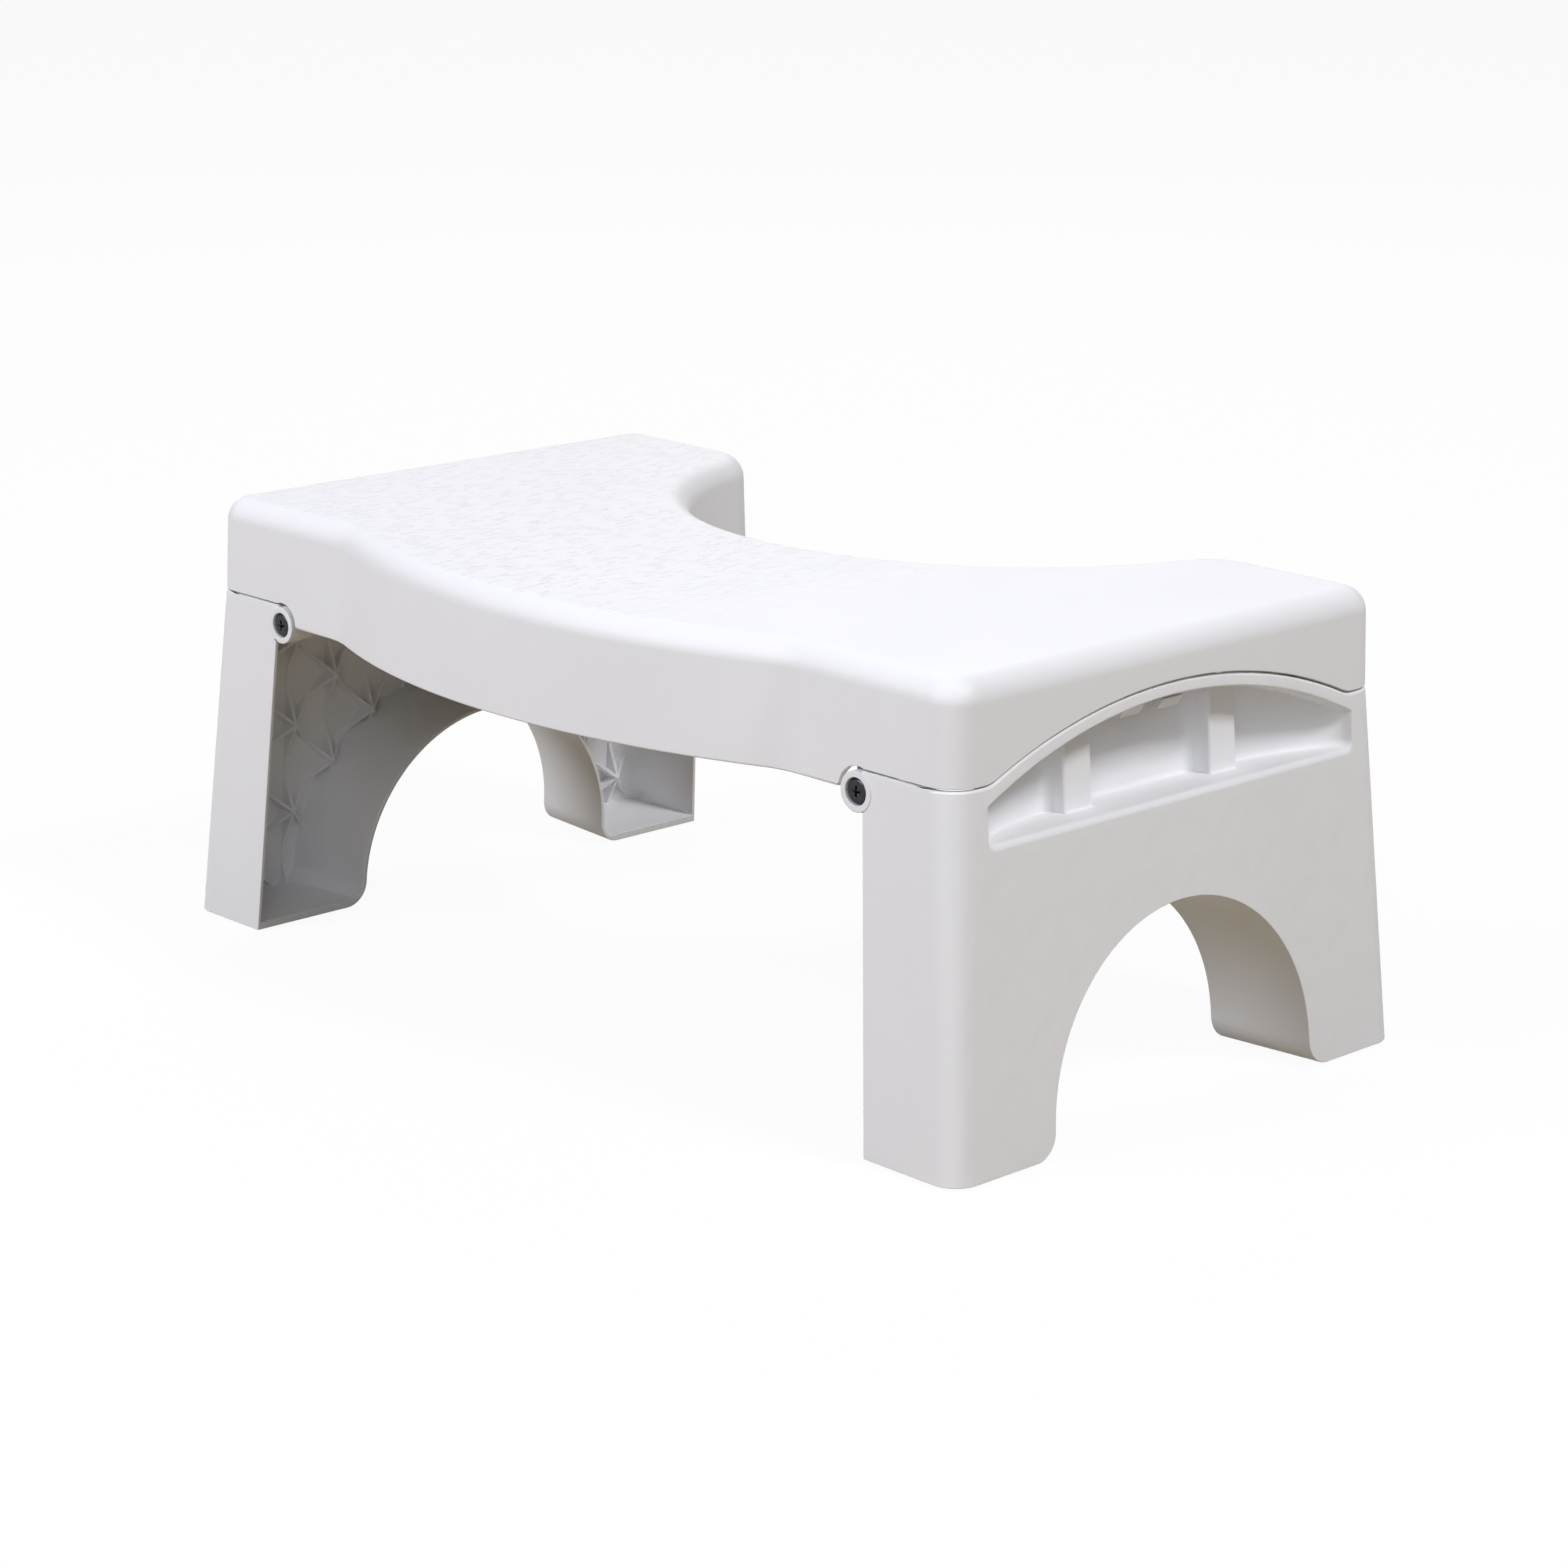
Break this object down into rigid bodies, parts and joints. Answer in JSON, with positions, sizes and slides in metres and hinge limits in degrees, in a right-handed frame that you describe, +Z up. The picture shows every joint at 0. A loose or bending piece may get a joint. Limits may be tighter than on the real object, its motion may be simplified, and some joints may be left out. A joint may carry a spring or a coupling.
{
  "type": "folding toilet footstool",
  "caption": "Low moulded footstool with a rounded cut-out that fits round a toilet's foot, on two wide legs that fold in under the platform.",
  "frame": {"origin": "on the floor, under the middle of the stool's bounding box with the legs open", "axes": "+X along the stool to the end that is nearer in the picture, -Y towards the bulged front edge, +Y towards the side with the round cut-out, +Z up"},
  "size_m": [0.4284, 0.2551, 0.1715],
  "materials": {
    "white_polypropylene": "satin injection-moulded polypropylene, cool white",
    "pad_rubber": "matt grey moulded rubber",
    "screw_steel": "dark zinc-plated pan-head screw with a cross recess",
    "zinc_plated_steel": "bright zinc-plated washer and nut"
  },
  "bodies": {
    "platform": {"top_platform": "white_polypropylene", "pivot_screw_right_front": "screw_steel", "pivot_screw_right_back": "screw_steel", "pivot_screw_left_front": "screw_steel", "pivot_screw_left_back": "screw_steel", "pivot_washer_right_front": "zinc_plated_steel", "pivot_washer_right_back": "zinc_plated_steel", "pivot_washer_left_front": "zinc_plated_steel", "pivot_washer_left_back": "zinc_plated_steel", "pivot_nut_right_front": "zinc_plated_steel", "pivot_nut_right_back": "zinc_plated_steel", "pivot_nut_left_front": "zinc_plated_steel", "pivot_nut_left_back": "zinc_plated_steel"},
    "right_leg": {"right_leg": "white_polypropylene", "foot_pad_right_front": "pad_rubber", "foot_pad_right_back": "pad_rubber"},
    "left_leg": {"left_leg": "white_polypropylene", "foot_pad_left_front": "pad_rubber", "foot_pad_left_back": "pad_rubber"}
  },
  "joints": [
    {"name": "right_leg_hinge", "type": "hinge", "parent": "platform", "child": "right_leg", "pos_m": [0.1588, 0.0096, 0.1269], "axis": [0, 1, 0], "range_deg": [0, 94]},
    {"name": "left_leg_hinge", "type": "hinge", "parent": "platform", "child": "left_leg", "pos_m": [-0.1588, 0.0096, 0.1269], "axis": [0, -1, 0], "range_deg": [0, 94]}
  ]
}
